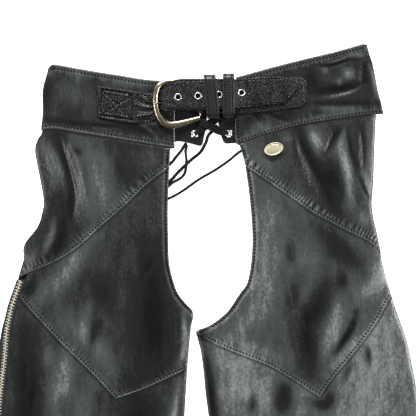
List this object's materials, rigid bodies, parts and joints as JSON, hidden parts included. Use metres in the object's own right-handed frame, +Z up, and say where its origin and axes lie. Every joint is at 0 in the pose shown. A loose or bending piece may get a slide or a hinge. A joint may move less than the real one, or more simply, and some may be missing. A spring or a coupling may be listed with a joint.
{
  "type": "leather chaps laid flat",
  "caption": "Black leather chaps laid flat, front up: belted yoke with centre gap, laced back, two full-length legs with panelled thighs and side zips.",
  "frame": {"origin": "middle of the underside, on the surface the garment lies on", "axes": "+X to the right of the garment as it lies, +Y from the hem to the waist, +Z up from the surface"},
  "size_m": [0.5178, 1.0956, 0.017],
  "materials": {
    "leather": "black grained leather with a soft sheen",
    "belt_leather": "black pebbled belt leather",
    "keeper_leather": "smooth black leather",
    "buckle_metal": "antique satin metal",
    "nickel": "bright nickel",
    "zip_metal": "pale zip metal",
    "zip_tape": "black woven tape",
    "badge_metal": "pale gold satin",
    "lace": "black cord and thread"
  },
  "bodies": {
    "garment": {"left_front_yoke": "leather", "right_front_yoke": "leather", "left_back_yoke": "leather", "right_back_yoke": "leather", "left_hip_panel": "leather", "right_hip_panel": "leather", "left_thigh_panel": "leather", "right_thigh_panel": "leather", "left_lower_panel": "leather", "right_lower_panel": "leather", "left_back_panel": "leather", "right_back_panel": "leather", "left_zip": "zip_tape", "right_zip": "zip_tape", "left_slider": "zip_metal", "right_slider": "zip_metal", "belt_strap": "belt_leather", "buckle_strap": "belt_leather", "keeper_1": "keeper_leather", "keeper_2": "keeper_leather", "buckle_frame": "buckle_metal", "buckle_bar": "buckle_metal", "buckle_prong": "buckle_metal", "strap_eyelet_1": "nickel", "strap_eyelet_2": "nickel", "strap_eyelet_3": "nickel", "strap_eyelet_4": "nickel", "tab_eyelet_left": "nickel", "tab_eyelet_right": "nickel", "badge": "badge_metal", "lace_a": "lace", "lace_b": "lace", "lace_c": "lace", "lace_d": "lace", "lace_cross_1": "lace", "lace_cross_2": "lace"},
    "left_pull_tab": {"left_pull": "zip_metal"},
    "right_pull_tab": {"right_pull": "zip_metal"}
  },
  "joints": [
    {"name": "left_pull_hinge", "type": "hinge", "parent": "garment", "child": "left_pull_tab", "pos_m": [-0.24869, -0.52184, 0.00889], "axis": [-1, 0, 0], "range_deg": [0, 165]},
    {"name": "right_pull_hinge", "type": "hinge", "parent": "garment", "child": "right_pull_tab", "pos_m": [0.23897, -0.52184, 0.0097], "axis": [-1, 0, 0], "range_deg": [0, 165]}
  ]
}
